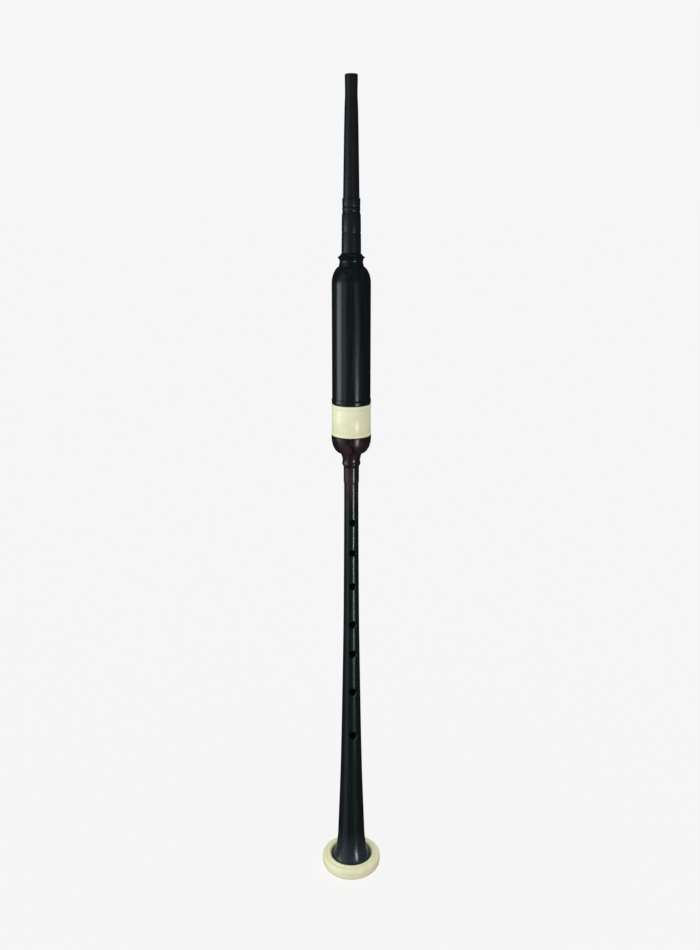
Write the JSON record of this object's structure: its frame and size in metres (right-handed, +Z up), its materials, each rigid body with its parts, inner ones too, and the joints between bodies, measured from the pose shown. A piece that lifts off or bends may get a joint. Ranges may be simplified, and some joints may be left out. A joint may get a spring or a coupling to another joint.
{
  "type": "practice chanter",
  "caption": "Long practice chanter: a tapered mouthpiece in a lidded reed chamber with a pale ferrule, over a flared stem with finger holes and a pale sole ring.",
  "frame": {"origin": "centre of the sole's underside, on the surface that the chanter stands on", "axes": "+Z up along the bore towards the mouthpiece, finger holes facing -Y, thumb hole facing +Y"},
  "size_m": [0.0394, 0.0394, 0.5321],
  "materials": {
    "blackwood": "turned and polished, nearly black with a trace of red where it is thin of dye",
    "imitation_ivory": "polished",
    "hemp": "waxed yellow hemp thread, wound",
    "black_plastic": "satin, turned",
    "staple_brass": "drawn tube",
    "reed_plastic": "satin, cane coloured",
    "binding_thread": "waxed thread",
    "bridle_rubber": "matt"
  },
  "bodies": {
    "chanter": {"chanter_body": "blackwood", "sole": "imitation_ivory"},
    "chanter_lapping": {"chanter_tenon_lapping": "hemp"},
    "chamber": {"reed_chamber": "blackwood", "chamber_ferrule": "imitation_ivory"},
    "mouthpiece_lapping": {"mouthpiece_tenon_lapping": "hemp"},
    "mouthpiece": {"mouthpiece_barrel": "black_plastic"},
    "mouthpiece_tip": {"mouthpiece_tip": "black_plastic"},
    "reed": {"reed_staple": "staple_brass", "reed_seat_lapping": "hemp", "reed_blade_front": "reed_plastic", "reed_blade_back": "reed_plastic", "reed_binding": "binding_thread"},
    "reed_bridle": {"reed_bridle": "bridle_rubber"}
  },
  "joints": [
    {"name": "chamber_turn", "type": "hinge", "parent": "chanter", "child": "chanter_lapping", "pos_m": [0, 0, 0.3042], "axis": [0, 0, 1], "continuous": true},
    {"name": "chamber_pull", "type": "slide", "parent": "chanter_lapping", "child": "chamber", "axis": [0, 0, 1], "range_m": [0, 0.075]},
    {"name": "mouthpiece_pull", "type": "slide", "parent": "chamber", "child": "mouthpiece_lapping", "axis": [0, 0, 1], "range_m": [0, 0.02]},
    {"name": "mouthpiece_turn", "type": "hinge", "parent": "mouthpiece_lapping", "child": "mouthpiece", "pos_m": [0, 0, 0.4218], "axis": [0, 0, 1], "continuous": true},
    {"name": "mouthpiece_tip_pull", "type": "slide", "parent": "mouthpiece", "child": "mouthpiece_tip", "axis": [0, 0, 1], "range_m": [0, 0.013]},
    {"name": "reed_pull", "type": "slide", "parent": "chanter", "child": "reed", "axis": [0, 0, 1], "range_m": [0, 0.014]},
    {"name": "reed_bridle_slide", "type": "slide", "parent": "reed", "child": "reed_bridle", "axis": [0, 0, 1], "range_m": [-0.003, 0.003]}
  ]
}
